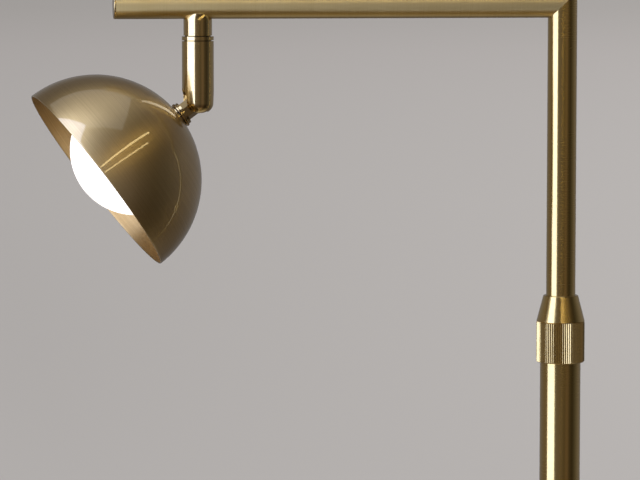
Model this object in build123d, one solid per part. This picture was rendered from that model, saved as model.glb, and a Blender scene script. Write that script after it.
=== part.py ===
from build123d import *
import os
from math import cos, radians, sin, sqrt

# Adjustable arm floor lamp. Millimetres, +Z up. The origin is where the pole's axis meets the floor, and
# the arm points along -X.

os.makedirs("parts", exist_ok=True)

# Clearances
running_gap = 0.05
thread_gap = 0.05
passing_gap = 0.25
ball_gap = 0.1

# Tubes
upper_tube_radius = 9.0
upper_tube_wall = 1.5
bush_space = 2.0
lower_pole_wall = 1.5

# Overall heights and reaches
clamp_height = 1029.0
arm_rise = 221.0
arm_reach = 275.0
swivel_reach = 224.0
buried_length = 324.0

# Base
base_radius = 135.0
base_side_height = 18.0
base_top_height = 25.0
base_edge_round = 5.0
cover_wall = 1.2
cover_lift = 1.0
pad_thickness = 3.0
weight_top_gap = 3.8
weight_slope = 17.0
weight_gap = 0.5
nut_recess_room = 3.0
nut_recess_depth = 6.5
cord_channel_width = 8.0

# Nipple that ties the base together
nipple_radius = 5.0
nipple_bore = 3.8
nipple_above_foot = 12.0
base_washer_radius = 14.0
base_washer_thickness = 1.6
base_nut_flats = 17.0
base_nut_height = 3.6

# Ferrule at the foot of the lower pole
foot_flange = 7.5
foot_height = 9.0
foot_round = 3.0
foot_plug_height = 26.0

# Cord inlet in the back of the base
gland_bore = 3.2
gland_radius = 4.2
gland_flange_radius = 5.6
gland_flange_thickness = 2.0
gland_length = 12.0

# Clamp at the top of the lower pole
clamp_wall = 2.35
knurl_height = 25.4
knurl_ribs = 76
knurl_depth = 0.45
knurl_crest = 0.2
knurl_flank = 0.4
knurl_chamfer = 0.6
cone_height = 15.9
cone_top_wall = 1.8
cone_top_chamfer = 0.4
skirt_depth = 7.0
pole_into_skirt = 6.0
sleeve_inside_pole = 40.0
sleeve_thread_step = 0.5
sleeve_thread_height = 18.0
collet_height = 8.0
collet_flare = 1.6
collet_proud = 2.0
collet_split = 1.5

# Bush at the foot of the upper pole
bush_length = 28.0
pole_plug_flange = 2.0
pole_plug_depth = 12.0
pole_plug_bore = 4.0
bush_clip_thickness = 1.2
clip_groove_depth = 0.5
clip_proud = 1.2

# Arm end cap
cap_thickness = 1.2
cap_chamfer = 0.5
cap_plug_length = 8.0
cap_plug_wall = 1.5

# Swivel under the arm
stub_step = 1.0
dome_below_arm = 1.2
stub_below_arm = 10.0
neck_step = 0.85
groove_gap = 0.5
ring_height = 2.3
body_seam = 0.5
body_wall = 2.55
swivel_length = 43.8
taper_length = 14.0
taper_depth = 0.5
body_end_round = 6.6
cap_skirt_length = 9.0
cap_thread_step = 1.1
cap_skirt_wall = 2.2
bolt_radius = 4.0
bolt_bore = 2.6
bolt_head_gap = 0.2
bolt_head_height = 3.0
bolt_in_stub = 7.5
wave_washer_height = 0.8

# Ball joint
ball_radius = 7.0
stem_flats = 9.8
slot_gap = 0.2
slot_rise = 8.0
plunger_cup = 2.4
plunger_bore = 3.2
disc_spring_count = 6
disc_spring_thickness = 0.6
disc_spring_cone = 0.5
disc_spring_bore = 3.8
wire_slot = 4.0
head_tilt = 53.5
head_turn = 6.3

# Parts on the stem, outwards from the ball
stem_length = 3.9
stem_nut_thickness = 1.6
stem_nut_radius = 7.2
disc_thickness = 1.6
disc_radius = 8.0
disc_edge_round = 0.5
gasket_thickness = 0.5
gasket_radius = 6.6
washer_thickness = 1.0
washer_radius = 7.6
spigot_radius = 5.0
spigot_bore = 2.6

# Shade
shade_radius = 63.6
shade_wall = 0.9
crown_flat_radius = 12.0

# Carrier cup, lampholder and lamp inside the shade
boss_radius = 9.0
boss_height = 5.1
cup_floor = 1.5
cup_room = 0.9
cup_wall = 2.2
cup_depth = 8.5
inner_nut_flats = 13.0
inner_nut_height = 3.0
spigot_past_nut = 0.7
bracket_thickness = 0.8
bracket_leg_gap = 0.7
bracket_screw_gap = 0.1
bracket_width = 8.0
bracket_height = 5.8
bracket_screw_head = 2.4
screw_head_height = 1.2
small_screw_radius = 1.5
holder_radius = 10.0
holder_height = 16.0
holder_edge_round = 1.0
bracket_hole_place = 2.6
holder_screw_radius = 1.0
holder_screw_head = 1.8
holder_screw_head_height = 0.6
holder_screw_length = 4.0
seat_gap = 0.1
pin_spacing = 9.0
pin_radius = 0.6
pin_depth = 9.0
pin_slot_depth = 11.0
pin_slot_width = 2.6
pin_slot_length = 4.4
contact_thickness = 0.5
capsule_radius = 6.8
capsule_length = 34.0
capsule_pinch = 5.0
capsule_pinch_width = 12.0
capsule_pinch_height = 6.0
capsule_shoulder_round = 2.5
capsule_tip_round = 6.0

# Opal glass globe
glass_radius = 39.5
glass_wall = 2.3
neck_wall = 2.2
neck_gap = 0.15
neck_start = 9.0
neck_height = 8.0
glass_belly = 32.3

# Places and sizes that follow from those above
lower_pole_inside = upper_tube_radius + bush_space
lower_pole_radius = lower_pole_inside + lower_pole_wall
clip_radius = upper_tube_radius + clip_proud
sleeve_thread_radius = lower_pole_radius - sleeve_thread_step
clamp_radius = lower_pole_radius + clamp_wall
cone_top_radius = upper_tube_radius + cone_top_wall
foot_radius = lower_pole_radius + foot_flange
nut_recess_radius = base_washer_radius + nut_recess_room
gland_height = pad_thickness + gland_radius + passing_gap
arm_height = clamp_height + arm_rise
stub_dome_drop = upper_tube_radius + dome_below_arm
stub_bottom_drop = upper_tube_radius + stub_below_arm
body_bore = ball_radius + ball_gap
swivel_radius = body_bore + body_wall
stub_radius = swivel_radius - stub_step
neck_radius = stub_radius - neck_step
cap_skirt_radius = body_bore + cap_thread_step
cap_skirt_bore = cap_skirt_radius - cap_skirt_wall
bolt_head_radius = cap_skirt_bore - bolt_head_gap
pivot_above_bottom = ball_radius
upper_pole_foot = clamp_height + pole_into_skirt - buried_length
ring_top = arm_height - stub_bottom_drop - groove_gap
body_top = ring_top - ring_height - body_seam
pivot_height = body_top - swivel_length + pivot_above_bottom
disc_stack = disc_spring_count * (disc_spring_thickness + disc_spring_cone)
plunger_top = ring_top - ring_height - cap_skirt_length - disc_stack
nut_distance = ball_radius + stem_length
crown_distance = nut_distance + stem_nut_thickness + disc_thickness + gasket_thickness + washer_thickness
shade_depth = sqrt(shade_radius**2 - crown_flat_radius**2)
bracket_leg_inset = inner_nut_flats / sqrt(3) + bracket_leg_gap
bracket_screw_place = bracket_leg_inset + bracket_thickness + bracket_screw_gap + bracket_screw_head
bracket_foot_reach = bracket_screw_place + bracket_screw_head
cup_radius = bracket_foot_reach + cup_room + cup_wall
cup_inside = shade_wall + boss_height + cup_floor
spigot_depth = cup_inside + inner_nut_height + spigot_past_nut
bracket_face = cup_inside + bracket_height


def turned(outline, rounds=()):
    """Body of revolution about Z from (radius, height) corners; rounds pairs a corner's number with a radius."""
    face = make_face(Polyline(*outline, close=True))
    for corner, radius in rounds:
        place = Vector(*outline[corner])
        vertex = face.vertices().sort_by_distance(place)[0]
        face = fillet(vertex, radius)
    return revolve(Plane.XZ * face, Axis.Z)


def ring(inner, outer, low, high):
    """Plain ring, or a disc where the inner radius is zero."""
    return turned([(inner, low), (outer, low), (outer, high), (inner, high)])


def hex_ring(flats, bore, low, high):
    """Hexagon nut with a round bore."""
    outer = extrude(RegularPolygon(flats / 2, 6, major_radius=False), high - low)
    return Pos(0, 0, low) * outer - ring(0, bore, low, high)


def save(name, shape):
    """Write one piece to its own file."""
    export_step(shape, "parts/" + name + ".step")


# Base: spun cover over a cast weight, closed by a pad


def base_cover():
    """Spun cover: side wall, rounded shoulder and a top that rises gently to the pole."""
    outline = [
        (nipple_radius + passing_gap, base_top_height),
        (foot_radius, base_top_height),
        (base_radius, base_side_height),
        (base_radius, cover_lift),
        (base_radius - cover_wall, cover_lift),
        (base_radius - cover_wall, base_side_height - cover_wall),
        (foot_radius, base_top_height - cover_wall),
        (nipple_radius + passing_gap, base_top_height - cover_wall),
    ]
    shell = turned(outline, [(2, base_edge_round), (5, base_edge_round - cover_wall)])
    hole = Pos(base_radius, 0, gland_height) * Rot(0, 90, 0) * Cylinder(gland_radius, 4 * cover_wall)
    return shell - hole


def base_weight():
    """Cast disc with a bore for the nipple, a recess for its nut and a channel for the cord."""
    low = pad_thickness
    under_cover = base_top_height - cover_wall
    high = under_cover - weight_top_gap
    disc = turned(
        [
            (nipple_radius + passing_gap, low),
            (base_radius - cover_wall - weight_gap, low),
            (base_radius - cover_wall - weight_gap, base_side_height - base_edge_round - cover_wall),
            (base_radius - base_edge_round - cover_wall - weight_gap, base_side_height - cover_wall - weight_gap),
            (foot_radius + weight_slope, high),
            (foot_radius, under_cover),
            (nipple_radius + passing_gap, under_cover),
        ]
    )
    recess = ring(0, nut_recess_radius, low, low + nut_recess_depth)
    channel_height = gland_height + gland_radius + passing_gap - low
    channel = Pos(base_radius / 2, 0, low + channel_height / 2) * Box(base_radius, cord_channel_width, channel_height)
    socket = Pos(base_radius, 0, gland_height) * Rot(0, 90, 0) * Cylinder(
        gland_radius + passing_gap, 2 * (gland_length + passing_gap)
    )
    return disc - recess - channel - socket


def base_pad():
    """Felt pad glued under the weight; it covers the nipple's nut."""
    return ring(0, base_radius - cover_wall - weight_gap, 0, pad_thickness)


def base_washer():
    """Steel washer between the weight and the nut."""
    high = pad_thickness + nut_recess_depth
    return ring(nipple_radius + passing_gap, base_washer_radius, high - base_washer_thickness, high)


def base_nut():
    """Hexagon nut on the nipple, inside the weight's recess."""
    high = pad_thickness + nut_recess_depth - base_washer_thickness
    return hex_ring(base_nut_flats, nipple_radius, high - base_nut_height, high)


def base_nipple():
    """Hollow threaded nipple from the nut up into the ferrule."""
    low = pad_thickness + nut_recess_depth - base_washer_thickness - base_nut_height
    return ring(nipple_bore, nipple_radius, low, base_top_height + nipple_above_foot)


def pole_foot():
    """Turned ferrule: a flange on the cover and a plug that fills the lower pole."""
    seat = base_top_height + foot_height
    plug_top = seat + foot_plug_height
    thread_top = base_top_height + nipple_above_foot
    outline = [
        (nipple_radius, base_top_height),
        (foot_radius, base_top_height),
        (foot_radius, seat),
        (lower_pole_inside, seat),
        (lower_pole_inside, plug_top),
        (nipple_bore, plug_top),
        (nipple_bore, thread_top),
        (nipple_radius, thread_top),
    ]
    return turned(outline, [(2, foot_round)])


def cord_gland():
    """Plastic bush that lines the cord's hole in the cover."""
    outside = ring(gland_bore, gland_flange_radius, 0, gland_flange_thickness)
    inside = ring(gland_bore, gland_radius, -gland_length, 0)
    return Pos(base_radius, 0, gland_height) * Rot(0, 90, 0) * (outside + inside)


# Lower pole and its clamp


def lower_pole():
    """Straight outer tube, from the ferrule into the skirt of the clamp nut."""
    seat = base_top_height + foot_height
    return ring(lower_pole_inside, lower_pole_radius, seat, clamp_height + pole_into_skirt)


def clamp_sleeve():
    """Sleeve brazed into the tube: it guides the upper pole, carries the thread and seats the collet."""
    guide = upper_tube_radius + running_gap
    shoulder = clamp_height + pole_into_skirt
    top = shoulder + sleeve_thread_height
    return turned(
        [
            (guide, shoulder - sleeve_inside_pole),
            (lower_pole_inside, shoulder - sleeve_inside_pole),
            (lower_pole_inside, shoulder),
            (sleeve_thread_radius, shoulder),
            (sleeve_thread_radius, top),
            (guide + collet_flare, top),
            (guide, top - collet_height),
        ]
    )


def clamp_ring():
    """Split nylon collet, squeezed on to the upper pole between the sleeve and the nut."""
    guide = upper_tube_radius + running_gap
    top = clamp_height + pole_into_skirt + sleeve_thread_height
    rim = guide + collet_flare
    foot = top - collet_height + ball_gap + running_gap
    collar = turned(
        [
            (guide, foot),
            (rim - ball_gap, top),
            (rim - ball_gap, top + collet_proud),
            (guide, top + collet_proud),
        ]
    )
    split = Pos(0, upper_tube_radius, top) * Box(collet_split, 2 * upper_tube_radius, 4 * collet_height)
    return collar - split


def clamp_nut():
    """Collar with a straight-knurled grip and a plain cone, threaded on the sleeve."""
    knurl_top = clamp_height + knurl_height
    top = knurl_top + cone_height
    pitch = 360 / knurl_ribs
    flank = [(clamp_radius - knurl_depth, -knurl_crest / 2 - knurl_flank),
             (clamp_radius, -knurl_crest / 2), (clamp_radius, knurl_crest / 2)]
    corners = []
    for rib in range(knurl_ribs):
        for radius, share in flank:
            angle = radians(pitch * (rib + share))
            corners.append((radius * cos(angle), radius * sin(angle)))
    ribs = Pos(0, 0, clamp_height) * extrude(make_face(Polyline(*corners, close=True)), knurl_height)
    envelope = turned(
        [
            (0, clamp_height),
            (clamp_radius - knurl_chamfer, clamp_height),
            (clamp_radius, clamp_height + knurl_chamfer),
            (clamp_radius, knurl_top - knurl_chamfer),
            (clamp_radius - knurl_chamfer, knurl_top),
            (0, knurl_top),
        ]
    )
    cone = turned(
        [
            (0, knurl_top),
            (clamp_radius, knurl_top),
            (cone_top_radius, top - cone_top_chamfer),
            (cone_top_radius - cone_top_chamfer, top),
            (0, top),
        ]
    )
    shoulder = clamp_height + pole_into_skirt + sleeve_thread_height + collet_proud + running_gap
    bore = turned(
        [
            (0, clamp_height),
            (lower_pole_radius + passing_gap, clamp_height),
            (lower_pole_radius + passing_gap, clamp_height + skirt_depth),
            (sleeve_thread_radius + thread_gap, clamp_height + skirt_depth),
            (sleeve_thread_radius + thread_gap, shoulder),
            (upper_tube_radius + passing_gap, shoulder),
            (upper_tube_radius + passing_gap, top),
            (0, top),
        ]
    )
    return (ribs & envelope) + cone - bore


# Upper pole, its bush and the arm


def mitre_plane():
    """The 45 degree plane where the upper pole and the arm meet."""
    return Plane(origin=(0, 0, arm_height), z_dir=(1, 0, -1))


def upper_pole():
    """Inner tube: a groove for the bush's clip near its foot, and a mitre at its top."""
    tube = ring(
        upper_tube_radius - upper_tube_wall, upper_tube_radius, upper_pole_foot, arm_height + 2 * upper_tube_radius
    )
    clip_foot = upper_pole_foot + bush_length + 2 * running_gap
    groove = ring(
        upper_tube_radius - clip_groove_depth, 2 * upper_tube_radius, clip_foot, clip_foot + bush_clip_thickness
    )
    return split(tube - groove, bisect_by=mitre_plane(), keep=Keep.TOP)


def arm_tube():
    """Arm: the same tube, mitred to the pole, with a hole above the swivel for the wires."""
    length = arm_reach - cap_thickness + 2 * upper_tube_radius
    start = -(arm_reach - cap_thickness)
    tube = Pos(start, 0, arm_height) * Rot(0, 90, 0) * ring(
        upper_tube_radius - upper_tube_wall, upper_tube_radius, 0, length
    )
    wire_hole = Pos(-swivel_reach, 0, arm_height - upper_tube_radius) * Cylinder(bolt_bore, 2 * upper_tube_radius)
    return split(tube - wire_hole, bisect_by=mitre_plane(), keep=Keep.BOTTOM)


def arm_end_cap():
    """Turned cap that closes the arm's free end."""
    plug = upper_tube_radius - upper_tube_wall
    outline = [
        (0, -cap_thickness),
        (upper_tube_radius - cap_chamfer, -cap_thickness),
        (upper_tube_radius, cap_chamfer - cap_thickness),
        (upper_tube_radius, 0),
        (plug, 0),
        (plug, cap_plug_length),
        (plug - cap_plug_wall, cap_plug_length),
        (plug - cap_plug_wall, 0),
        (0, 0),
    ]
    return Pos(cap_thickness - arm_reach, 0, arm_height) * Rot(0, 90, 0) * turned(outline)


def pole_plug():
    """Flanged plug in the foot of the upper pole; its flange carries the bush."""
    inside = upper_tube_radius - upper_tube_wall
    outline = [
        (pole_plug_bore, upper_pole_foot - pole_plug_flange),
        (clip_radius, upper_pole_foot - pole_plug_flange),
        (clip_radius, upper_pole_foot),
        (inside, upper_pole_foot),
        (inside, upper_pole_foot + pole_plug_depth),
        (pole_plug_bore, upper_pole_foot + pole_plug_depth),
    ]
    return turned(outline)


def guide_bush():
    """Nylon bush that slides in the lower pole and lets the upper pole turn in it."""
    low = upper_pole_foot + running_gap
    return ring(upper_tube_radius + running_gap, lower_pole_inside - running_gap, low, low + bush_length)


def bush_clip():
    """Snap ring in the upper pole's groove, above the bush."""
    low = upper_pole_foot + bush_length + 2 * running_gap
    whole = ring(upper_tube_radius - clip_groove_depth, clip_radius, low, low + bush_clip_thickness)
    return whole - Pos(upper_tube_radius, 0, low) * Box(2 * upper_tube_radius, bush_clip_thickness, upper_tube_radius)


# Swivel under the arm. What hangs on the bolt is made about Z, and place_swivel turns and moves it.


def place_swivel(shape):
    """Turn a piece of the swivel to where it rests, and move it under the arm."""
    return Pos(-swivel_reach, 0, 0) * Rot(0, 0, head_turn) * shape


def swivel_stub():
    """Domed spigot brazed under the arm, threaded for the hollow bolt; the cap turns against its neck."""
    dome_z = arm_height - stub_dome_drop
    bottom = arm_height - stub_bottom_drop
    neck_low = ring_top + running_gap
    neck = ring(0, neck_radius, neck_low, bottom)
    dome = Pos(0, 0, dome_z) * Sphere(stub_radius, arc_size1=0, align=(Align.CENTER, Align.CENTER, Align.MIN))
    body = neck + ring(0, stub_radius, bottom, dome_z) + dome
    arm_space = Pos(0, 0, arm_height) * Rot(0, 90, 0) * Cylinder(upper_tube_radius, 4 * stub_radius)
    thread = ring(0, bolt_radius, neck_low, bottom + bolt_in_stub)
    wire_way = ring(0, bolt_bore, neck_low, arm_height)
    return Pos(-swivel_reach, 0, 0) * (body - arm_space - thread - wire_way)


def swivel_bolt():
    """Hollow bolt fixed in the stub; the cap and the body hang and turn on it."""
    low = ring_top - ring_height - wave_washer_height - running_gap - bolt_head_height
    head_top = low + bolt_head_height
    shank_top = arm_height - stub_bottom_drop + bolt_in_stub
    return Pos(-swivel_reach, 0, 0) * turned(
        [
            (bolt_bore, low),
            (bolt_head_radius, low),
            (bolt_head_radius, head_top),
            (bolt_radius, head_top),
            (bolt_radius, shank_top),
            (bolt_bore, shank_top),
        ]
    )


def wave_washer():
    """Spring washer between the bolt's head and the cap; its pressure holds the swivel where it is left."""
    high = ring_top - ring_height - running_gap
    return Pos(-swivel_reach, 0, 0) * ring(bolt_radius + passing_gap, bolt_head_radius - running_gap,
                                          high - wave_washer_height, high)


def swivel_cap():
    """Cap: a narrow ring outside, and a threaded skirt inside the body."""
    face_low = ring_top - ring_height
    skirt_low = face_low - cap_skirt_length
    return place_swivel(turned(
        [
            (bolt_radius + running_gap, ring_top),
            (swivel_radius, ring_top),
            (swivel_radius, face_low),
            (cap_skirt_radius, face_low),
            (cap_skirt_radius, skirt_low),
            (cap_skirt_bore, skirt_low),
            (cap_skirt_bore, face_low),
            (bolt_radius + running_gap, face_low),
        ]
    ))


def swivel_body():
    """Turned body: a bore for the ball's parts, a round end with the ball's seat, and the stem's slot."""
    bottom = pivot_height - pivot_above_bottom
    taper_top = bottom + taper_length
    skirt_low = ring_top - ring_height - cap_skirt_length
    outside = turned(
        [
            (0, bottom),
            (swivel_radius - taper_depth, bottom),
            (swivel_radius, taper_top),
            (swivel_radius, body_top),
            (0, body_top),
        ],
        [(1, body_end_round)],
    )
    bore = ring(0, body_bore, pivot_height, body_top)
    thread = ring(0, cap_skirt_radius, skirt_low, body_top)
    seat = Pos(0, 0, pivot_height) * Sphere(ball_radius + ball_gap)
    slot_width = stem_flats + 2 * slot_gap
    slot_end = slot_rise - slot_width / 2
    stem_corner = stem_flats / sqrt(3) + slot_gap
    slot_height = slot_end + 2 * pivot_above_bottom
    side_slot = Pos(-swivel_radius, 0, pivot_height + slot_end - slot_height / 2) * Box(
        2 * swivel_radius, slot_width, slot_height
    )
    slot_top = Pos(-swivel_radius, 0, pivot_height + slot_end) * Rot(0, 90, 0) * Cylinder(
        slot_width / 2, 2 * swivel_radius
    )
    bottom_slot = Pos(stem_corner / 2, 0, pivot_height - pivot_above_bottom) * Box(
        stem_corner, slot_width, 2 * pivot_above_bottom
    )
    return place_swivel(outside - bore - thread - seat - side_slot - slot_top - bottom_slot)


def plunger():
    """Nylon plunger with a hollow foot, pressed on the ball by the disc springs."""
    foot = pivot_height + ball_radius - plunger_cup
    body = ring(plunger_bore, body_bore - running_gap, foot, plunger_top)
    hollow = Pos(0, 0, pivot_height) * Sphere(ball_radius + ball_gap)
    return place_swivel(body - hollow)


def disc_springs():
    """Stack of conical spring washers between the plunger and the cap."""
    washers = []
    for number in range(disc_spring_count):
        low = plunger_top + number * (disc_spring_thickness + disc_spring_cone)
        inner_rise = disc_spring_cone if number % 2 == 0 else 0
        outer_rise = disc_spring_cone - inner_rise
        outer = body_bore - passing_gap
        washers.append(
            place_swivel(turned(
                [
                    (disc_spring_bore, low + inner_rise),
                    (outer, low + outer_rise),
                    (outer, low + outer_rise + disc_spring_thickness),
                    (disc_spring_bore, low + inner_rise + disc_spring_thickness),
                ]
            ))
        )
    return Compound(washers)


# Head. Each piece is made about Z, with the ball's centre at the origin and the light shining down -Z, and
# place_head turns and moves it to where it rests.


def place_head(shape):
    """Turn a head piece up from straight down, and put the ball in its seat."""
    return Pos(-swivel_reach, 0, pivot_height) * Rot(0, 0, head_turn) * Rot(0, head_tilt, 0) * shape


def below(depth):
    """Height of a point this deep inside the shade, counted from the outside of its crown."""
    return -(crown_distance + depth)


def head_stem():
    """Ball, hexagon stem and threaded spigot in one piece, bored for the wires."""
    hexagon = RegularPolygon(stem_flats / 2, 6, major_radius=False)
    bar = Pos(0, 0, -nut_distance) * extrude(hexagon, nut_distance)
    spigot = ring(0, spigot_radius, below(spigot_depth), -nut_distance)
    ball = Sphere(ball_radius)
    wire_way = ring(0, spigot_bore, below(spigot_depth), 0)
    wire_sweep = Pos(ball_radius / 2, 0, ball_radius / 2) * Box(3 * ball_radius, wire_slot, ball_radius)
    return place_head(ball + bar + spigot - wire_way - wire_sweep)


def stem_nut():
    """Thin round nut on the spigot, against the stem."""
    low = -(nut_distance + stem_nut_thickness)
    return place_head(ring(spigot_radius, stem_nut_radius, low, -nut_distance))


def crown_disc():
    """Bright turned disc above the shade."""
    high = -(nut_distance + stem_nut_thickness)
    outline = [
        (spigot_radius, high - disc_thickness),
        (disc_radius, high - disc_thickness),
        (disc_radius, high),
        (spigot_radius, high),
    ]
    return place_head(turned(outline, [(1, disc_edge_round), (2, disc_edge_round)]))


def crown_gasket():
    """Dark insulating washer under the disc."""
    high = below(-washer_thickness - gasket_thickness)
    return place_head(ring(spigot_radius, gasket_radius, high - gasket_thickness, high))


def crown_washer():
    """Brass washer on the shade's crown."""
    return place_head(ring(spigot_radius, washer_radius, below(0), below(-washer_thickness)))


def shade():
    """Spun half-sphere with a small flat at its crown and an open rim."""
    rim = below(shade_depth)
    inner_radius = shade_radius - shade_wall
    inner_flat = sqrt(inner_radius**2 - (shade_depth - shade_wall) ** 2)
    shell = make_face(
        [
            Line((spigot_radius, below(0)), (crown_flat_radius, below(0))),
            RadiusArc((crown_flat_radius, below(0)), (shade_radius, rim), shade_radius),
            Line((shade_radius, rim), (inner_radius, rim)),
            RadiusArc((inner_radius, rim), (inner_flat, below(shade_wall)), -inner_radius),
            Line((inner_flat, below(shade_wall)), (spigot_radius, below(shade_wall))),
            Line((spigot_radius, below(shade_wall)), (spigot_radius, below(0))),
        ]
    )
    return place_head(revolve(Plane.XZ * shell, Axis.Z))


def glass_carrier():
    """Turned cup inside the shade: its boss meets the crown, and its wall carries the glass."""
    boss_top = below(shade_wall)
    floor_top = below(shade_wall + boss_height)
    floor_low = below(cup_inside)
    rim = below(cup_inside + cup_depth)
    cup = turned(
        [
            (spigot_radius, boss_top),
            (boss_radius, boss_top),
            (boss_radius, floor_top),
            (cup_radius, floor_top),
            (cup_radius, rim),
            (cup_radius - cup_wall, rim),
            (cup_radius - cup_wall, floor_low),
            (spigot_radius, floor_low),
        ]
    )
    for side in (-1, 1):
        cup -= Pos(side * bracket_screw_place, 0, 0) * ring(0, small_screw_radius, floor_low, floor_top)
    return place_head(cup)


def inner_nut():
    """Hexagon nut that clamps the carrier, the shade and the washers on the spigot."""
    return place_head(hex_ring(inner_nut_flats, spigot_radius, below(cup_inside + inner_nut_height),
                               below(cup_inside)))


def holder_bracket():
    """Steel strap over the nut; the lampholder stands on it."""
    high = below(cup_inside)
    low = below(bracket_face)
    outer_leg = bracket_leg_inset + bracket_thickness
    strap = Pos(0, 0, low + bracket_thickness / 2) * Box(2 * outer_leg, bracket_width, bracket_thickness)
    for side in (-1, 1):
        leg_place = side * (bracket_leg_inset + bracket_thickness / 2)
        strap += Pos(leg_place, 0, (low + high) / 2) * Box(bracket_thickness, bracket_width, bracket_height)
        foot_length = bracket_foot_reach - bracket_leg_inset
        foot_place = side * (bracket_leg_inset + foot_length / 2)
        foot = Pos(foot_place, 0, high - bracket_thickness / 2) * Box(foot_length, bracket_width, bracket_thickness)
        screw_hole = Pos(side * bracket_screw_place, 0, high) * Cylinder(small_screw_radius, bracket_height)
        holder_hole = Pos(0, side * bracket_hole_place, low) * Cylinder(holder_screw_radius, bracket_height)
        strap = strap + foot - screw_hole - holder_hole
    return place_head(strap)


def screw(place, head_radius, head_height, seat, length):
    """Small screw whose head sits below its seat, with the shank rising above it."""
    head = ring(0, head_radius, seat - head_height, seat)
    shank = ring(0, small_screw_radius, seat, seat + length)
    return Pos(*place) * (head + shank)


def bracket_screws():
    """Two screws through the bracket's feet into the cup's floor."""
    seat = below(cup_inside + bracket_thickness)
    length = bracket_thickness + cup_floor
    pair = [
        place_head(screw((side * bracket_screw_place, 0, 0), bracket_screw_head, screw_head_height, seat, length))
        for side in (-1, 1)
    ]
    return Compound(pair)


def holder_screws():
    """Two small screws up through the bracket into the lampholder."""
    seat = below(bracket_face - bracket_thickness)
    pair = []
    for side in (-1, 1):
        place = (0, side * bracket_hole_place, 0)
        length = -(bracket_thickness + holder_screw_length)
        head = ring(0, holder_screw_head, seat, seat + holder_screw_head_height)
        shank = ring(0, holder_screw_radius, seat + length, seat)
        pair.append(place_head(Pos(*place) * (head + shank)))
    return Compound(pair)


def lampholder():
    """Glazed ceramic lampholder with two blind slots for the lamp's pins."""
    high = below(bracket_face)
    low = below(bracket_face + holder_height)
    block = ring(0, holder_radius, low, high)
    edge = block.edges().filter_by(GeomType.CIRCLE).sort_by(Axis.Z)[0]
    block = fillet(edge, holder_edge_round)
    for side in (-1, 1):
        slot = Box(pin_slot_width, pin_slot_length, pin_slot_depth)
        block -= Pos(side * pin_spacing / 2, 0, low + pin_slot_depth / 2) * slot
        hole = ring(0, holder_screw_radius, high - holder_screw_length, high)
        block -= Pos(0, side * bracket_hole_place, 0) * hole
    return place_head(block)


def holder_contacts():
    """Two brass blades in the lampholder's slots, beside the pins."""
    low = below(bracket_face + holder_height)
    blades = []
    for side in (-1, 1):
        inner_wall = side * (pin_spacing / 2 + pin_slot_width / 2 - contact_thickness / 2)
        height = pin_slot_depth - contact_thickness
        blade = Box(contact_thickness, pin_slot_length, height)
        blades.append(place_head(Pos(inner_wall, 0, low + pin_slot_depth - height / 2) * blade))
    return Compound(blades)


def lamp_capsule():
    """Glass capsule lamp: a flat pinch at its foot and a rounded tube."""
    foot = below(bracket_face + holder_height + seat_gap)
    pinch_low = foot - capsule_pinch_height
    tip = foot - capsule_length
    pinch = Pos(0, 0, (foot + pinch_low) / 2) * Box(capsule_pinch_width, capsule_pinch, capsule_pinch_height)
    tube = turned(
        [(0, pinch_low), (capsule_radius, pinch_low), (capsule_radius, tip), (0, tip)],
        [(1, capsule_shoulder_round), (2, capsule_tip_round)],
    )
    return place_head(pinch + tube)


def lamp_pins():
    """The lamp's two wire pins."""
    foot = below(bracket_face + holder_height + seat_gap)
    pins = [
        place_head(Pos(side * pin_spacing / 2, 0, 0) * ring(0, pin_radius, foot, foot + pin_depth))
        for side in (-1, 1)
    ]
    return Compound(pins)


def glass_globe():
    """Blown opal glass: a round front, a shoulder, and a neck that screws on to the carrier."""
    neck_bore = cup_radius + neck_gap
    neck_outside = neck_bore + neck_wall
    back = below(neck_start)
    shoulder = below(neck_start + neck_height)
    belly = below(glass_belly)
    inner_radius = glass_radius - glass_wall
    wall = make_face(
        [
            Line((neck_bore, back), (neck_outside, back)),
            Line((neck_outside, back), (neck_outside, shoulder)),
            TangentArc((glass_radius, belly), (neck_outside, shoulder), tangent=(0, 1)),
            TangentArc((glass_radius, belly), (0, belly - glass_radius), tangent=(0, -1)),
            Line((0, belly - glass_radius), (0, belly - inner_radius)),
            TangentArc((inner_radius, belly), (0, belly - inner_radius), tangent=(0, -1)),
            TangentArc((inner_radius, belly), (neck_bore, shoulder - glass_wall), tangent=(0, 1)),
            Line((neck_bore, shoulder - glass_wall), (neck_bore, back)),
        ]
    )
    return place_head(revolve(Plane.XZ * wall, Axis.Z))


# Every piece goes to a file of its own

pieces = [
    base_cover, base_weight, base_pad, base_washer, base_nut, base_nipple, pole_foot, cord_gland,
    lower_pole, clamp_sleeve, clamp_ring, clamp_nut,
    upper_pole, arm_tube, arm_end_cap, pole_plug, guide_bush, bush_clip,
    swivel_stub, swivel_bolt, wave_washer, swivel_cap, swivel_body, plunger, disc_springs,
    head_stem, stem_nut, crown_disc, crown_gasket, crown_washer, shade,
    glass_carrier, inner_nut, holder_bracket, bracket_screws, holder_screws, lampholder, holder_contacts,
    lamp_capsule, lamp_pins, glass_globe,
]
for piece in pieces:
    save(piece.__name__, piece())
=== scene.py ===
import bpy
from math import cos, pi, radians, sin, sqrt
from mathutils import Matrix, Vector


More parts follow.
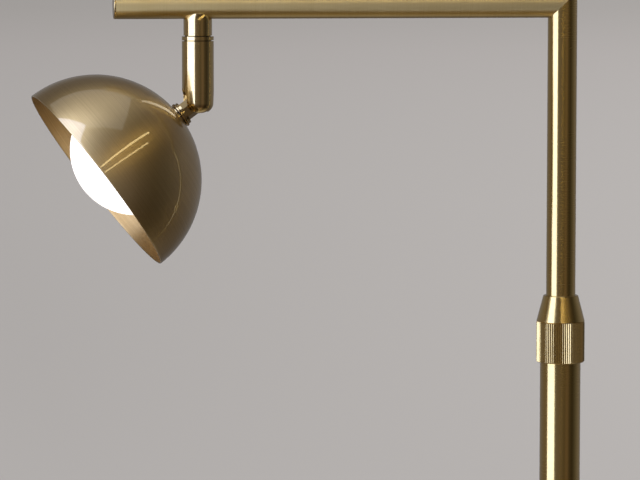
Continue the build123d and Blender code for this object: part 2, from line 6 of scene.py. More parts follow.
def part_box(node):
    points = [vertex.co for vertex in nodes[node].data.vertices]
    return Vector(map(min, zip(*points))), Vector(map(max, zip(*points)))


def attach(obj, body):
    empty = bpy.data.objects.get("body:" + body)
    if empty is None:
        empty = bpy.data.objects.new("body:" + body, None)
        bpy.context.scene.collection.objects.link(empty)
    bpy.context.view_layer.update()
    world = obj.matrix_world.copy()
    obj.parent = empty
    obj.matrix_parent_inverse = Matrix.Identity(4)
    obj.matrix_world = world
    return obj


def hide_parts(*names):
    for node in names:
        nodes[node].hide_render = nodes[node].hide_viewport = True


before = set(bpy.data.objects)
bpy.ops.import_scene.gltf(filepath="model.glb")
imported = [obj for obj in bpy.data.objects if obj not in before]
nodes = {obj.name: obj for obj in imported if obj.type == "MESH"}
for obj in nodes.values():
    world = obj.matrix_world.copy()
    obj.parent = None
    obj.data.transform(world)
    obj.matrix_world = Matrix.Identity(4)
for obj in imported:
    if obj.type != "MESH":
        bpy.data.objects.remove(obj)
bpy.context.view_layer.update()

# Camera: a long lens a little above the clamp, turned slightly to the right and looking slightly down, so
# that the clamp, the arm and the head fill the picture.

camera_data = bpy.data.cameras.new("camera")
camera_data.sensor_width = 36
camera_data.lens = 191.25
camera_data.clip_start = 0.05
camera_data.clip_end = 1000
camera = bpy.data.objects.new("camera", camera_data)
camera.location = (-0.40427, -2.05051, 1.29771)
camera.rotation_euler = (radians(84.70), 0, radians(-7.08))
bpy.context.scene.collection.objects.link(camera)
bpy.context.scene.camera = camera
bpy.context.scene.view_settings.view_transform = "Standard"


# Studio floor: one pale matt sheet, wide enough to reach the horizon. It is painted a little darker far
# away, and behind the lamp a little lighter to the right, as painted light and shade.

def add_node(tree, kind, place, **settings):
    """Adds one shader node, sets its own properties, and returns it."""
    node = tree.nodes.new(kind)
    node.location = place
    for name, value in settings.items():
        setattr(node, name, value)
    return node


def main_shader(material):
    """The material's Principled shader."""
    return material.node_tree.nodes["Principled BSDF"]


def new_material(name):
    """A new material, its node tree and its Principled shader."""
    material = bpy.data.materials.new(name)
    material.use_nodes = True
    return material, material.node_tree, main_shader(material)


def set_stops(ramp, stops):
    """Gives a colour ramp these (position, colour) stops."""
    elements = ramp.color_ramp.elements
    while len(elements) > 1:
        elements.remove(elements[-1])
    elements[0].position = stops[0][0]
    elements[0].color = (*stops[0][1], 1)
    for position, colour in stops[1:]:
        element = elements.new(position)
        element.color = (*colour, 1)


floor_drop = 0.0002
floor_radius = 400
floor_material, tree, shader = new_material("pale_floor")
place = add_node(tree, "ShaderNodeTexCoord", (-900, 0))
split = add_node(tree, "ShaderNodeSeparateXYZ", (-700, 0))
distance = add_node(tree, "ShaderNodeVectorMath", (-700, 200), operation="LENGTH")
far = add_node(tree, "ShaderNodeMapRange", (-500, 200), interpolation_type="SMOOTHSTEP")
far.inputs["From Min"].default_value = 6
far.inputs["From Max"].default_value = 60
side = add_node(tree, "ShaderNodeMath", (-500, 0), operation="DIVIDE")
lean = add_node(tree, "ShaderNodeMapRange", (-300, 0))
lean.inputs["From Min"].default_value = 0.0
lean.inputs["From Max"].default_value = 0.24
lean.inputs["To Min"].default_value = 0.93
lean.inputs["To Max"].default_value = 1.08
shades = add_node(tree, "ShaderNodeValToRGB", (-300, 200))
set_stops(shades, [(0.0, (0.63, 0.62, 0.62)), (0.06, (0.63, 0.62, 0.62)),
                   (0.5, (0.59, 0.575, 0.575)), (1.0, (0.52, 0.51, 0.505))])
behind = add_node(tree, "ShaderNodeMapRange", (-500, -250), interpolation_type="SMOOTHSTEP")
behind.inputs["From Min"].default_value = 2
behind.inputs["From Max"].default_value = 9
level = add_node(tree, "ShaderNodeMix", (-100, -100), data_type="FLOAT")
level.inputs["A"].default_value = 1.0
tint = add_node(tree, "ShaderNodeVectorMath", (-100, 100), operation="SCALE")
tree.links.new(place.outputs["Object"], split.inputs[0])
tree.links.new(place.outputs["Object"], distance.inputs[0])
tree.links.new(distance.outputs["Value"], far.inputs["Value"])
tree.links.new(split.outputs["X"], side.inputs[0])
tree.links.new(split.outputs["Y"], side.inputs[1])
tree.links.new(side.outputs[0], lean.inputs["Value"])
tree.links.new(far.outputs["Result"], shades.inputs["Fac"])
tree.links.new(shades.outputs["Color"], tint.inputs[0])
tree.links.new(split.outputs["Y"], behind.inputs["Value"])
tree.links.new(behind.outputs["Result"], level.inputs["Factor"])
tree.links.new(lean.outputs["Result"], level.inputs["B"])
tree.links.new(level.outputs["Result"], tint.inputs["Scale"])
tree.links.new(tint.outputs["Vector"], shader.inputs["Base Color"])
shader.inputs["Roughness"].default_value = 0.9
shader.inputs["Specular IOR Level"].default_value = 0.1
bpy.ops.object.select_all(action="DESELECT")
bpy.ops.mesh.primitive_circle_add(vertices=96, radius=floor_radius, fill_type="NGON",
                                  location=(0, 0, -floor_drop))
floor = bpy.context.object
floor.name = "studio_floor"
floor.data.materials.append(floor_material)
floor.visible_glossy = False


# Studio light: a tall soft box close on the left, a dim room around, and a soft light overhead. Two thin
# warm bars in front of the shade are mirrored in its lacquer.

def soft_light(name, place, towards, width, height, power, colour):
    """A rectangular area light that the camera does not see."""
    data = bpy.data.lights.new(name, "AREA")
    data.shape = "RECTANGLE"
    data.size = width
    data.size_y = height
    data.energy = power
    data.color = colour
    light = bpy.data.objects.new(name, data)
    light.location = place
    aim = Vector(towards) - Vector(place)
    light.rotation_euler = aim.to_track_quat("-Z", "Y").to_euler()
    light.visible_camera = False
    bpy.context.scene.collection.objects.link(light)
    return light


def bar_light(name, start, finish, width, power, colour):
    """A long thin lamp from one point to another, turned to face the shade."""
    start = Vector(start)
    finish = Vector(finish)
    middle = (start + finish) / 2
    light = soft_light(name, middle, shade_centre, (finish - start).length, width, power, colour)
    forward = (shade_centre - middle).normalized()
    across = (finish - start).normalized()
    up = across.cross(forward).normalized()
    across = forward.cross(up)
    light.rotation_euler = Matrix((across, up, -forward)).transposed().to_euler()


def from_shade(azimuth, elevation):
    """A point at the bars' distance from the shade, at an azimuth counted to the right from the camera."""
    heading = radians(azimuth - camera_side)
    rise = radians(elevation)
    direction = Vector((sin(heading) * cos(rise), -cos(heading) * cos(rise), sin(rise)))
    return shade_centre + bar_reach * direction


shade_centre = Vector((-0.286, -0.007, 1.144))
camera_side = 3.5
bar_reach = 1.7
warm_white = (1.0, 0.78, 0.36)
soft_light("tall_soft_box", place=(-0.77, -0.31, 1.42), towards=(-0.04, 0.37, 1.42),
           width=0.69, height=1.95, power=11.5, colour=(0.76, 0.84, 1.12))
soft_light("overhead_panel", place=(-0.36, 0.0, 2.35), towards=(-0.36, 0.0, 1.0),
           width=1.3, height=1.3, power=2.2, colour=(1.0, 0.99, 0.94))
bar_light("upper_bar", from_shade(3, 16), from_shade(84, 42), width=0.045, power=1.3, colour=warm_white)
bar_light("lower_bar", from_shade(9, 12), from_shade(72, 35), width=0.04, power=0.8, colour=warm_white)

sky = bpy.data.lights.new("overhead_wash", "SUN")
sky.energy = 2.1
sky.angle = radians(50)
sky.color = (1.0, 0.99, 0.985)
wash = bpy.data.objects.new("overhead_wash", sky)
wash.rotation_euler = (radians(14), radians(-12), 0)
wash.visible_glossy = False
bpy.context.scene.collection.objects.link(wash)

world = bpy.data.worlds.new("studio")
world.use_nodes = True
bpy.context.scene.world = world
tree = world.node_tree
background = tree.nodes["Background"]
heading = add_node(tree, "ShaderNodeTexCoord", (-1300, 0))
split = add_node(tree, "ShaderNodeSeparateXYZ", (-1100, 0))
mirror = add_node(tree, "ShaderNodeMath", (-900, -100), operation="MULTIPLY")
mirror.inputs[1].default_value = -1
azimuth = add_node(tree, "ShaderNodeMath", (-700, 0), operation="ARCTAN2")
turn = add_node(tree, "ShaderNodeMapRange", (-500, 0))
turn.inputs["From Min"].default_value = -pi
turn.inputs["From Max"].default_value = pi
around = add_node(tree, "ShaderNodeValToRGB", (-300, 0))
walls = [(-180, 0.21, 0.20, 0.195), (-135, 0.19, 0.17, 0.15), (-100, 0.19, 0.15, 0.10),
         (-40, 0.16, 0.14, 0.12), (-20, 0.17, 0.14, 0.11), (0, 0.13, 0.105, 0.08),
         (14, 0.09, 0.07, 0.045), (24, 0.15, 0.11, 0.075), (34, 0.15, 0.11, 0.075),
         (44, 0.07, 0.055, 0.035), (63, 0.04, 0.032, 0.02), (84, 0.10, 0.09, 0.07),
         (108, 0.18, 0.16, 0.14), (180, 0.21, 0.20, 0.195)]
set_stops(around, [((degrees + 180) / 360, colour) for degrees, *colour in walls])
above = add_node(tree, "ShaderNodeValToRGB", (-300, -300))
set_stops(above, [(0.0, (2.0, 1.9, 1.5)), (0.07, (1.7, 1.6, 1.3)), (0.14, (0.5, 0.45, 0.4)),
                  (0.25, (0.5, 0.45, 0.4)), (0.42, (0.9, 0.9, 0.9)), (0.6, (1, 1, 1)),
                  (0.75, (0.6, 0.55, 0.5)), (1.0, (0.5, 0.45, 0.4))])
height = add_node(tree, "ShaderNodeMapRange", (-500, -300))
height.inputs["From Min"].default_value = -1
height.inputs["From Max"].default_value = 1
room = add_node(tree, "ShaderNodeVectorMath", (0, 0), operation="MULTIPLY")
rays = add_node(tree, "ShaderNodeLightPath", (0, 300))
seen = add_node(tree, "ShaderNodeMix", (200, 0), data_type="RGBA")
seen.inputs["B"].default_value = (0.377, 0.352, 0.339, 1)
tree.links.new(heading.outputs["Generated"], split.inputs[0])
tree.links.new(split.outputs["Y"], mirror.inputs[0])
tree.links.new(split.outputs["X"], azimuth.inputs[0])
tree.links.new(mirror.outputs[0], azimuth.inputs[1])
tree.links.new(azimuth.outputs[0], turn.inputs["Value"])
tree.links.new(turn.outputs["Result"], around.inputs["Fac"])
tree.links.new(split.outputs["Z"], height.inputs["Value"])
tree.links.new(height.outputs["Result"], above.inputs["Fac"])
tree.links.new(around.outputs["Color"], room.inputs[0])
tree.links.new(above.outputs["Color"], room.inputs[1])
tree.links.new(rays.outputs["Is Camera Ray"], seen.inputs["Factor"])
tree.links.new(room.outputs["Vector"], seen.inputs["A"])
tree.links.new(seen.outputs["Result"], background.inputs["Color"])


# Base: a cast iron disc under a spun brass cover, which is brushed in rings and clear lacquered. The cover
# is drawn down on the casting by the nipple that holds the ferrule, and a felt pad closes it from below.

def group_socket(group, name, kind, direction, value=None):
    """Declares one named input or output of a node group."""
    socket = group.interface.new_socket(name=name, in_out=direction, socket_type=kind)
    if value is not None:
        socket.default_value = value
    return socket


def make_ring_grain():
    """Node group: scratches that run round the Z axis of its vector, as turning and brushing leave them."""
    group = bpy.data.node_groups.new("ring_grain", "ShaderNodeTree")
    group_socket(group, "Vector", "NodeSocketVector", "INPUT")
    group_socket(group, "Lines", "NodeSocketFloat", "INPUT", 4000.0)
    group_socket(group, "Length", "NodeSocketFloat", "INPUT", 60.0)
    group_socket(group, "Streak", "NodeSocketFloat", "OUTPUT")
    start = add_node(group, "NodeGroupInput", (-900, 0))
    end = add_node(group, "NodeGroupOutput", (500, 0))
    parts = add_node(group, "ShaderNodeSeparateXYZ", (-700, 0))
    flat = add_node(group, "ShaderNodeCombineXYZ", (-700, -200))
    radius = add_node(group, "ShaderNodeVectorMath", (-500, -200), operation="LENGTH")
    across = add_node(group, "ShaderNodeMath", (-300, -200), operation="MULTIPLY")
    along = add_node(group, "ShaderNodeMath", (-300, 0), operation="MULTIPLY")
    slow = add_node(group, "ShaderNodeMath", (-300, 200), operation="MULTIPLY")
    lines = add_node(group, "ShaderNodeCombineXYZ", (-100, 0))
    noise = add_node(group, "ShaderNodeTexNoise", (100, 0))
    noise.inputs["Scale"].default_value = 1.0
    noise.inputs["Detail"].default_value = 3.0
    noise.inputs["Roughness"].default_value = 0.65
    group.links.new(start.outputs["Vector"], parts.inputs[0])
    group.links.new(parts.outputs["X"], flat.inputs["X"])
    group.links.new(parts.outputs["Y"], flat.inputs["Y"])
    group.links.new(flat.outputs[0], radius.inputs[0])
    group.links.new(radius.outputs["Value"], across.inputs[0])
    group.links.new(start.outputs["Lines"], across.inputs[1])
    group.links.new(parts.outputs["Z"], along.inputs[0])
    group.links.new(start.outputs["Lines"], along.inputs[1])
    group.links.new(parts.outputs["X"], slow.inputs[0])
    group.links.new(start.outputs["Length"], slow.inputs[1])
    group.links.new(across.outputs[0], lines.inputs["X"])
    group.links.new(along.outputs[0], lines.inputs["Y"])
    group.links.new(slow.outputs[0], lines.inputs["Z"])
    group.links.new(lines.outputs[0], noise.inputs["Vector"])
    group.links.new(noise.outputs["Fac"], end.inputs["Streak"])
    return group


def make_surface_wear():
    """Node group: turns streaks and a slow cloud into a colour, a roughness and a height."""
    group = bpy.data.node_groups.new("surface_wear", "ShaderNodeTree")
    group_socket(group, "Vector", "NodeSocketVector", "INPUT")
    group_socket(group, "Streak", "NodeSocketFloat", "INPUT", 0.5)
    group_socket(group, "Light", "NodeSocketColor", "INPUT", (0.8, 0.6, 0.3, 1))
    group_socket(group, "Dark", "NodeSocketColor", "INPUT", (0.6, 0.45, 0.2, 1))
    group_socket(group, "Cloud", "NodeSocketFloat", "INPUT", 60.0)
    group_socket(group, "Smooth", "NodeSocketFloat", "INPUT", 0.2)
    group_socket(group, "Rough", "NodeSocketFloat", "INPUT", 0.3)
    group_socket(group, "Color", "NodeSocketColor", "OUTPUT")
    group_socket(group, "Roughness", "NodeSocketFloat", "OUTPUT")
    group_socket(group, "Height", "NodeSocketFloat", "OUTPUT")
    start = add_node(group, "NodeGroupInput", (-900, 0))
    end = add_node(group, "NodeGroupOutput", (500, 0))
    noise = add_node(group, "ShaderNodeTexNoise", (-700, 200))
    noise.inputs["Detail"].default_value = 4.0
    blend = add_node(group, "ShaderNodeMix", (-450, 100), data_type="FLOAT")
    blend.inputs["Factor"].default_value = 0.45
    spread = add_node(group, "ShaderNodeMapRange", (-250, 100), interpolation_type="SMOOTHSTEP")
    spread.inputs["From Min"].default_value = 0.32
    spread.inputs["From Max"].default_value = 0.68
    colour = add_node(group, "ShaderNodeMix", (0, 200), data_type="RGBA")
    level = add_node(group, "ShaderNodeMix", (0, -100), data_type="FLOAT")
    group.links.new(start.outputs["Vector"], noise.inputs["Vector"])
    group.links.new(start.outputs["Cloud"], noise.inputs["Scale"])
    group.links.new(start.outputs["Streak"], blend.inputs["A"])
    group.links.new(noise.outputs["Fac"], blend.inputs["B"])
    group.links.new(blend.outputs["Result"], spread.inputs["Value"])
    group.links.new(spread.outputs["Result"], colour.inputs["Factor"])
    group.links.new(start.outputs["Dark"], colour.inputs["A"])
    group.links.new(start.outputs["Light"], colour.inputs["B"])
    group.links.new(spread.outputs["Result"], level.inputs["Factor"])
    group.links.new(start.outputs["Rough"], level.inputs["A"])
    group.links.new(start.outputs["Smooth"], level.inputs["B"])
    group.links.new(colour.outputs["Result"], end.inputs["Color"])
    group.links.new(level.outputs["Result"], end.inputs["Roughness"])
    group.links.new(start.outputs["Streak"], end.inputs["Height"])
    return group


ring_grain = make_ring_grain()
surface_wear = make_surface_wear()


def worn_material(name, light, dark, smooth, rough, metallic, lines, length, cloud, depth,
                  centre=(0, 0, 0), turned=(0, 0, 0)):
    """A material whose scratches run round the Z axis of a frame at centre, turned by these angles.

    smooth and rough bound the roughness; lines, length and cloud are counts in a metre; depth is in metres.
    """
    material, tree, shader = new_material(name)
    place = add_node(tree, "ShaderNodeTexCoord", (-1100, 0))
    frame_of_piece = add_node(tree, "ShaderNodeMapping", (-900, 0), vector_type="TEXTURE")
    frame_of_piece.inputs["Location"].default_value = centre
    frame_of_piece.inputs["Rotation"].default_value = turned
    grain = add_node(tree, "ShaderNodeGroup", (-650, 0), node_tree=ring_grain)
    grain.inputs["Lines"].default_value = lines
    grain.inputs["Length"].default_value = length
    wear = add_node(tree, "ShaderNodeGroup", (-400, 0), node_tree=surface_wear)
    wear.inputs["Light"].default_value = (*light, 1)
    wear.inputs["Dark"].default_value = (*dark, 1)
    wear.inputs["Cloud"].default_value = cloud
    wear.inputs["Smooth"].default_value = smooth
    wear.inputs["Rough"].default_value = rough
    bump = add_node(tree, "ShaderNodeBump", (-200, -250))
    bump.inputs["Strength"].default_value = 1.0
    bump.inputs["Distance"].default_value = depth
    tree.links.new(place.outputs["Object"], frame_of_piece.inputs["Vector"])
    tree.links.new(frame_of_piece.outputs["Vector"], grain.inputs["Vector"])
    tree.links.new(frame_of_piece.outputs["Vector"], wear.inputs["Vector"])
    tree.links.new(grain.outputs["Streak"], wear.inputs["Streak"])
    tree.links.new(wear.outputs["Height"], bump.inputs["Height"])
    tree.links.new(wear.outputs["Color"], shader.inputs["Base Color"])
    tree.links.new(wear.outputs["Roughness"], shader.inputs["Roughness"])
    tree.links.new(bump.outputs["Normal"], shader.inputs["Normal"])
    shader.inputs["Metallic"].default_value = metallic
    return material


def stretch_gloss(material, amount, **tangent):
    """Draws the gloss out across the scratches. The tangent's settings say which way the scratches run."""
    tree = material.node_tree
    shader = main_shader(material)
    shader.inputs["Anisotropic"].default_value = amount
    shader.inputs["Anisotropic Rotation"].default_value = quarter_turn
    along = add_node(tree, "ShaderNodeTangent", (-200, -450), **tangent)
    tree.links.new(along.outputs["Tangent"], shader.inputs["Tangent"])


def lacquer(material, amount, roughness, ior=1.5):
    """Clear lacquer over the metal."""
    shader = main_shader(material)
    shader.inputs["Coat Weight"].default_value = amount
    shader.inputs["Coat Roughness"].default_value = roughness
    shader.inputs["Coat IOR"].default_value = ior


def dress(material, *names):
    """Gives CAD nodes their finished material."""
    for name in names:
        nodes[name].data.materials.clear()
        nodes[name].data.materials.append(material)


quarter_turn = 0.25
cover_brass = worn_material(
    "cover_brass", light=(0.74, 0.56, 0.27), dark=(0.66, 0.48, 0.21),
    smooth=0.24, rough=0.34, metallic=1.0, lines=5200, length=40, cloud=25, depth=0.000012)
stretch_gloss(cover_brass, 0.6, direction_type="RADIAL", axis="Z")
lacquer(cover_brass, amount=1.0, roughness=0.06)
dress(cover_brass, "base_cover")

iron = worn_material(
    "dipped_iron", light=(0.10, 0.10, 0.105), dark=(0.04, 0.04, 0.042),
    smooth=0.5, rough=0.75, metallic=0.0, lines=300, length=300, cloud=350, depth=0.00025)
dress(iron, "base_weight")

felt = worn_material(
    "pressed_felt", light=(0.055, 0.055, 0.06), dark=(0.02, 0.02, 0.022),
    smooth=0.9, rough=1.0, metallic=0.0, lines=2600, length=2600, cloud=1500, depth=0.0004)
shader = main_shader(felt)
shader.inputs["Sheen Weight"].default_value = 0.4
shader.inputs["Sheen Roughness"].default_value = 0.5
dress(felt, "base_pad")

zinc = worn_material(
    "zinc_plate", light=(0.66, 0.66, 0.63), dark=(0.48, 0.48, 0.47),
    smooth=0.25, rough=0.4, metallic=1.0, lines=3000, length=900, cloud=400, depth=0.00001)
dress(zinc, "base_washer", "base_nut", "base_nipple")

foot_brass = worn_material(
    "ferrule_brass", light=(0.76, 0.58, 0.29), dark=(0.68, 0.50, 0.23),
    smooth=0.2, rough=0.3, metallic=1.0, lines=6000, length=40, cloud=40, depth=0.00001)
stretch_gloss(foot_brass, 0.6, direction_type="RADIAL", axis="Z")
lacquer(foot_brass, amount=1.0, roughness=0.06)
dress(foot_brass, "pole_foot")

bush_plastic = worn_material(
    "moulded_plastic", light=(0.035, 0.035, 0.037), dark=(0.02, 0.02, 0.022),
    smooth=0.4, rough=0.55, metallic=0.0, lines=1800, length=1800, cloud=900, depth=0.00006)
dress(bush_plastic, "cord_gland")


# Lower pole: drawn brass tube, polished round and clear lacquered. Its foot is pressed on the ferrule's
# plug, and the clamp's sleeve sits in its top.

tube_brass = worn_material(
    "tube_brass", light=(0.72, 0.55, 0.235), dark=(0.66, 0.495, 0.20),
    smooth=0.22, rough=0.28, metallic=1.0, lines=4200, length=30, cloud=30, depth=0.0000015)
stretch_gloss(tube_brass, 0.85, direction_type="RADIAL", axis="Z")
lacquer(tube_brass, amount=1.0, roughness=0.08)
dress(tube_brass, "lower_pole")


# Clamp: a threaded sleeve brazed in the tube, a split nylon collet, and a brass nut with a straight knurl
# and a plain cone that squeezes the collet on the upper pole.

sleeve_brass = worn_material(
    "sleeve_brass", light=(0.74, 0.57, 0.28), dark=(0.66, 0.49, 0.22),
    smooth=0.25, rough=0.35, metallic=1.0, lines=5000, length=60, cloud=80, depth=0.00001)
dress(sleeve_brass, "clamp_sleeve")

nylon = worn_material(
    "natural_nylon", light=(0.80, 0.78, 0.71), dark=(0.72, 0.69, 0.61),
    smooth=0.35, rough=0.5, metallic=0.0, lines=3500, length=80, cloud=120, depth=0.00002)
shader = main_shader(nylon)
shader.inputs["Subsurface Weight"].default_value = 0.15
shader.inputs["Subsurface Radius"].default_value = (0.002, 0.0018, 0.0014)
dress(nylon, "clamp_ring", "guide_bush")

nut_brass = worn_material(
    "nut_brass", light=(0.76, 0.59, 0.26), dark=(0.68, 0.51, 0.21),
    smooth=0.2, rough=0.28, metallic=1.0, lines=6500, length=40, cloud=60, depth=0.000003)
stretch_gloss(nut_brass, 0.7, direction_type="RADIAL", axis="Z")
lacquer(nut_brass, amount=1.0, roughness=0.08)
dress(nut_brass, "clamp_nut")


# Upper pole and arm: one size of brass tube, mitred and brazed at the corner. The pole turns and slides on
# a nylon bush held by a plug and a snap ring; the arm is closed by a turned cap.

dress(tube_brass, "upper_pole")
dress(bush_plastic, "pole_plug")

spring_steel = worn_material(
    "blued_spring_steel", light=(0.40, 0.41, 0.45), dark=(0.25, 0.26, 0.31),
    smooth=0.25, rough=0.4, metallic=1.0, lines=4000, length=60, cloud=200, depth=0.00001)
dress(spring_steel, "bush_clip")

arm_height = sum(corner[2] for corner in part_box("arm_end_cap")) / 2
quarter = radians(90)
# The arm is painted lighter than the pole, though both are one tube: painted light on the arm.
arm_brass_painted_light = worn_material(
    "arm_brass_painted_light", light=(0.78, 0.60, 0.27), dark=(0.71, 0.53, 0.22),
    smooth=0.42, rough=0.48, metallic=1.0, lines=3600, length=30, cloud=30, depth=0.000002,
    centre=(0, 0, arm_height), turned=(0, quarter, 0))
stretch_gloss(arm_brass_painted_light, 0.97, direction_type="RADIAL", axis="X")
lacquer(arm_brass_painted_light, amount=1.0, roughness=0.08)
dress(arm_brass_painted_light, "arm_tube")

cap_brass = worn_material(
    "cap_brass", light=(0.80, 0.63, 0.33), dark=(0.72, 0.55, 0.27),
    smooth=0.22, rough=0.3, metallic=1.0, lines=6500, length=40, cloud=80, depth=0.000008,
    centre=(0, 0, arm_height), turned=(0, quarter, 0))
lacquer(cap_brass, amount=1.0, roughness=0.08)
dress(cap_brass, "arm_end_cap")


# Swivel: a domed spigot brazed under the arm, a hollow steel bolt, a cap ring and a turned body with the
# ball's seat. All brass is turned, polished and lacquered.

def paint_groove_shade(material, centre_x, radius, low, high):
    """Painted shade each side of the cap: dark and dull inside this radius, between two heights."""
    tree = material.node_tree
    shader = main_shader(material)
    place = add_node(tree, "ShaderNodeTexCoord", (-1100, 700))
    centred = add_node(tree, "ShaderNodeVectorMath", (-900, 700), operation="SUBTRACT")
    centred.inputs[1].default_value = (centre_x, 0, 0)
    parts = add_node(tree, "ShaderNodeSeparateXYZ", (-700, 700))
    flat = add_node(tree, "ShaderNodeCombineXYZ", (-500, 800))
    reach = add_node(tree, "ShaderNodeVectorMath", (-300, 800), operation="LENGTH")
    inside = add_node(tree, "ShaderNodeMath", (-100, 800), operation="LESS_THAN")
    inside.inputs[1].default_value = radius
    above = add_node(tree, "ShaderNodeMath", (-300, 600), operation="GREATER_THAN")
    above.inputs[1].default_value = low
    under = add_node(tree, "ShaderNodeMath", (-300, 450), operation="LESS_THAN")
    under.inputs[1].default_value = high
    band = add_node(tree, "ShaderNodeMath", (-100, 550), operation="MULTIPLY")
    groove_shade = add_node(tree, "ShaderNodeMath", (100, 700), operation="MULTIPLY")
    unshaded = add_node(tree, "ShaderNodeMath", (300, 500), operation="SUBTRACT")
    unshaded.inputs[0].default_value = 1
    colour = add_node(tree, "ShaderNodeMix", (300, 800), data_type="RGBA")
    # The painted shade's colour, a near black brown.
    colour.inputs["B"].default_value = (0.03, 0.02, 0.01, 1)
    tree.links.new(place.outputs["Object"], centred.inputs[0])
    tree.links.new(centred.outputs["Vector"], parts.inputs[0])
    tree.links.new(parts.outputs["X"], flat.inputs["X"])
    tree.links.new(parts.outputs["Y"], flat.inputs["Y"])
    tree.links.new(flat.outputs[0], reach.inputs[0])
    tree.links.new(reach.outputs["Value"], inside.inputs[0])
    tree.links.new(parts.outputs["Z"], above.inputs[0])
    tree.links.new(parts.outputs["Z"], under.inputs[0])
    tree.links.new(above.outputs[0], band.inputs[0])
    tree.links.new(under.outputs[0], band.inputs[1])
    tree.links.new(inside.outputs[0], groove_shade.inputs[0])
    tree.links.new(band.outputs[0], groove_shade.inputs[1])
    tree.links.new(groove_shade.outputs[0], unshaded.inputs[1])
    tree.links.new(groove_shade.outputs[0], colour.inputs["Factor"])
    tree.links.new(shader.inputs["Base Color"].links[0].from_socket, colour.inputs["A"])
    tree.links.new(colour.outputs["Result"], shader.inputs["Base Color"])
    tree.links.new(unshaded.outputs[0], shader.inputs["Coat Weight"])


swivel_low, swivel_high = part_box("swivel_body")
swivel_x = (swivel_low[0] + swivel_high[0]) / 2
swivel_brass = worn_material(
    "polished_brass", light=(0.74, 0.59, 0.31), dark=(0.69, 0.54, 0.27),
    smooth=0.13, rough=0.2, metallic=1.0, lines=7000, length=60, cloud=60, depth=0.000004,
    centre=(swivel_x, 0, 0))
stretch_gloss(swivel_brass, 0.4, direction_type="RADIAL", axis="Z")
lacquer(swivel_brass, amount=1.0, roughness=0.04)
body_top = swivel_high[2]
cap_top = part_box("swivel_cap")[1][2]
groove_radius = 0.0084
groove_height = 0.0005
height_slack = 0.0001
# Painted shade: inside the groove radius, from the body's top to just above the cap, the brass is painted
# dark and left without lacquer.
paint_groove_shade(swivel_brass, swivel_x, groove_radius, body_top - height_slack, cap_top + groove_height)
dress(swivel_brass, "swivel_stub", "swivel_cap", "swivel_body")
dress(zinc, "swivel_bolt")
dress(spring_steel, "wave_washer", "disc_springs")
dress(nylon, "plunger")


# Head's stem: ball, hexagon stem and threaded spigot in one bright piece, with a thin round nut, a bright
# disc, a dark gasket and a brass washer on the crown.

pivot = Vector((-0.224, 0, 1.1909))
head_turn = radians(6.3)
head_tilt = radians(53.5)
panned = Matrix.Rotation(head_turn, 4, "Z")
tilted = Matrix.Rotation(head_tilt, 4, "Y")
head_place = Matrix.Translation(pivot) @ panned @ tilted
head_angles = head_place.to_euler()
# The stem's brass is painted darker than the other brass: painted shade and a painted dark reflection on
# the stem, nut, disc and washer.
stem_brass_painted_dark = worn_material(
    "stem_brass_painted_dark", light=(0.55, 0.43, 0.23), dark=(0.46, 0.35, 0.17),
    smooth=0.12, rough=0.2, metallic=1.0, lines=6000, length=60, cloud=90, depth=0.000004,
    centre=pivot, turned=head_angles)
lacquer(stem_brass_painted_dark, amount=1.0, roughness=0.04)
dress(stem_brass_painted_dark, "head_stem", "stem_nut", "crown_disc", "crown_washer")

rubber = worn_material(
    "gasket_rubber", light=(0.03, 0.03, 0.03), dark=(0.018, 0.018, 0.018),
    smooth=0.6, rough=0.75, metallic=0.0, lines=2500, length=900, cloud=700, depth=0.00003,
    centre=pivot, turned=head_angles)
dress(rubber, "crown_gasket")


# Shade: a half-sphere spun from brass sheet, brushed in rings round its axis while it turned, and clear
# lacquered. Its rim is trimmed square and just broken, and its crown has a small flat with a hole.

shade_radius = 0.0636
shade_wall = 0.0009
crown_flat = 0.012
crown_hole = 0.0051
crown_height = -0.0156
rim_break = 0.00022
same_place = 1e-6
rim_height = crown_height - sqrt(shade_radius**2 - crown_flat**2)
bpy.ops.object.select_all(action="DESELECT")
bpy.ops.mesh.primitive_uv_sphere_add(segments=160, ring_count=160, radius=shade_radius,
                                     location=(0, 0, rim_height))
bowl = bpy.context.object
bowl.name = "shade_bowl"
bpy.ops.object.transform_apply(location=True, rotation=True, scale=True)
bpy.ops.object.mode_set(mode="EDIT")
bpy.ops.mesh.select_all(action="SELECT")
bpy.ops.mesh.bisect(plane_co=(0, 0, rim_height), plane_no=(0, 0, 1), clear_inner=True)
bpy.ops.mesh.select_all(action="SELECT")
bpy.ops.mesh.bisect(plane_co=(0, 0, crown_height), plane_no=(0, 0, 1), clear_outer=True)
bpy.ops.mesh.select_mode(type="VERT")
bpy.ops.mesh.select_all(action="DESELECT")
bpy.ops.object.mode_set(mode="OBJECT")
for vertex in bowl.data.vertices:
    vertex.select = abs(vertex.co.z - crown_height) < same_place
bpy.ops.object.mode_set(mode="EDIT")
bpy.ops.mesh.select_mode(type="EDGE")
bpy.ops.mesh.extrude_edges_move()
flat_to_hole = crown_hole / crown_flat
bpy.ops.transform.resize(value=(flat_to_hole, flat_to_hole, 1), center_override=(0, 0, crown_height))
bpy.ops.mesh.select_all(action="SELECT")
bpy.ops.mesh.remove_doubles(threshold=same_place)
bpy.ops.mesh.normals_make_consistent(inside=False)
bpy.ops.object.mode_set(mode="OBJECT")
wall = bowl.modifiers.new("wall", "SOLIDIFY")
wall.thickness = shade_wall
wall.offset = -1
wall.use_even_offset = True
bpy.ops.object.modifier_apply(modifier="wall")
edge = bowl.modifiers.new("broken_edge", "BEVEL")
edge.limit_method = "ANGLE"
edge.angle_limit = radians(50)
edge.width = rim_break
edge.segments = 3
bpy.ops.object.modifier_apply(modifier="broken_edge")
bpy.ops.object.shade_smooth_by_angle(angle=radians(35))
bowl.matrix_world = head_place
bpy.ops.object.transform_apply(location=True, rotation=True, scale=True)
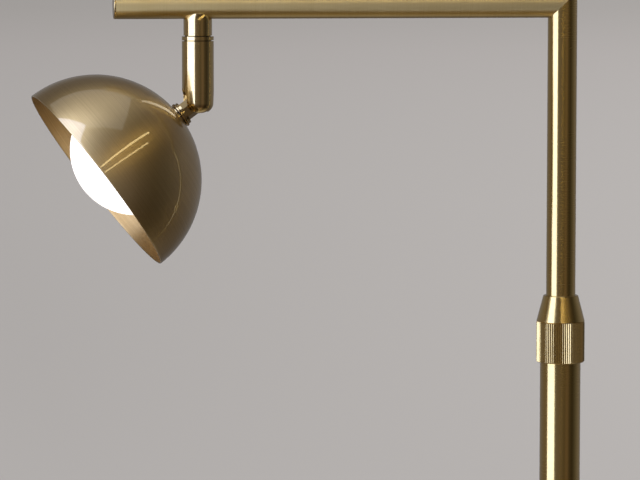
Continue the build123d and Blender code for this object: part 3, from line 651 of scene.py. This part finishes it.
spun_brass = worn_material(
    "spun_brass", light=(0.66, 0.50, 0.25), dark=(0.53, 0.39, 0.18),
    smooth=0.38, rough=0.48, metallic=1.0, lines=2400, length=18, cloud=14, depth=0.000008,
    centre=pivot, turned=head_angles)
stretch_gloss(spun_brass, 0.6, direction_type="UV_MAP", uv_map="UVMap")
lacquer(spun_brass, amount=1.0, roughness=0.03, ior=1.9)
bowl.data.materials.append(spun_brass)

# The bowl's inside is painted darker than its outside: painted shade inside the shade.
inside_brass_painted_shade = worn_material(
    "inside_brass_painted_shade", light=(0.50, 0.36, 0.18), dark=(0.40, 0.28, 0.13),
    smooth=0.35, rough=0.5, metallic=1.0, lines=2400, length=18, cloud=14, depth=0.000008,
    centre=pivot, turned=head_angles)
stretch_gloss(inside_brass_painted_shade, 0.5, direction_type="UV_MAP", uv_map="UVMap")
bowl.data.materials.append(inside_brass_painted_shade)
bowl_centre = head_place @ Vector((0, 0, rim_height))
# Faces that look inward get the painted-shade material.
for face in bowl.data.polygons:
    if face.normal.dot(face.center - bowl_centre) < 0:
        face.material_index = 1
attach(bowl, "head")
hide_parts("shade")


# Inside the shade: a turned cup that carries the glass, a steel bracket and a glazed lampholder with a
# small capsule lamp.

dress(cap_brass, "glass_carrier")
dress(zinc, "inner_nut", "holder_bracket", "bracket_screws", "holder_screws", "lamp_pins")

contact_brass = worn_material(
    "contact_brass", light=(0.80, 0.64, 0.34), dark=(0.70, 0.54, 0.26),
    smooth=0.2, rough=0.3, metallic=1.0, lines=3000, length=400, cloud=200, depth=0.000005,
    centre=pivot, turned=head_angles)
dress(contact_brass, "holder_contacts")

glaze = worn_material(
    "white_glaze", light=(0.86, 0.85, 0.80), dark=(0.80, 0.78, 0.73),
    smooth=0.12, rough=0.22, metallic=0.0, lines=900, length=300, cloud=120, depth=0.00002,
    centre=pivot, turned=head_angles)
shader = main_shader(glaze)
shader.inputs["Coat Weight"].default_value = 0.6
dress(glaze, "lampholder")

lamp_glass = worn_material(
    "frosted_lamp_glass", light=(0.95, 0.93, 0.88), dark=(0.90, 0.87, 0.80),
    smooth=0.25, rough=0.4, metallic=0.0, lines=2500, length=900, cloud=300, depth=0.00001,
    centre=pivot, turned=head_angles)
shader = main_shader(lamp_glass)
shader.inputs["Emission Color"].default_value = (1.0, 0.86, 0.66, 1)
shader.inputs["Emission Strength"].default_value = 6
dress(lamp_glass, "lamp_capsule")


# Opal globe: blown white glass, etched outside, screwed on the turned cup and lit from within by the
# capsule lamp. It glows less where its wall is seen at a slant.

opal_glass = worn_material(
    "lit_opal_glass", light=(0.96, 0.94, 0.90), dark=(0.92, 0.89, 0.84),
    smooth=0.3, rough=0.42, metallic=0.0, lines=1500, length=600, cloud=60, depth=0.00001,
    centre=pivot, turned=head_angles)
tree = opal_glass.node_tree
shader = main_shader(opal_glass)
facing = add_node(tree, "ShaderNodeLayerWeight", (-600, 400))
facing.inputs["Blend"].default_value = 0.35
glow = add_node(tree, "ShaderNodeValToRGB", (-400, 400))
set_stops(glow, [(0.0, (1.0, 0.96, 0.91)), (0.45, (1.0, 0.95, 0.88)),
                 (0.8, (0.86, 0.74, 0.60)), (1.0, (0.62, 0.50, 0.36))])
tree.links.new(facing.outputs["Facing"], glow.inputs["Fac"])
tree.links.new(glow.outputs["Color"], shader.inputs["Emission Color"])
shader.inputs["Emission Strength"].default_value = 1.0
dress(opal_glass, "glass_globe")
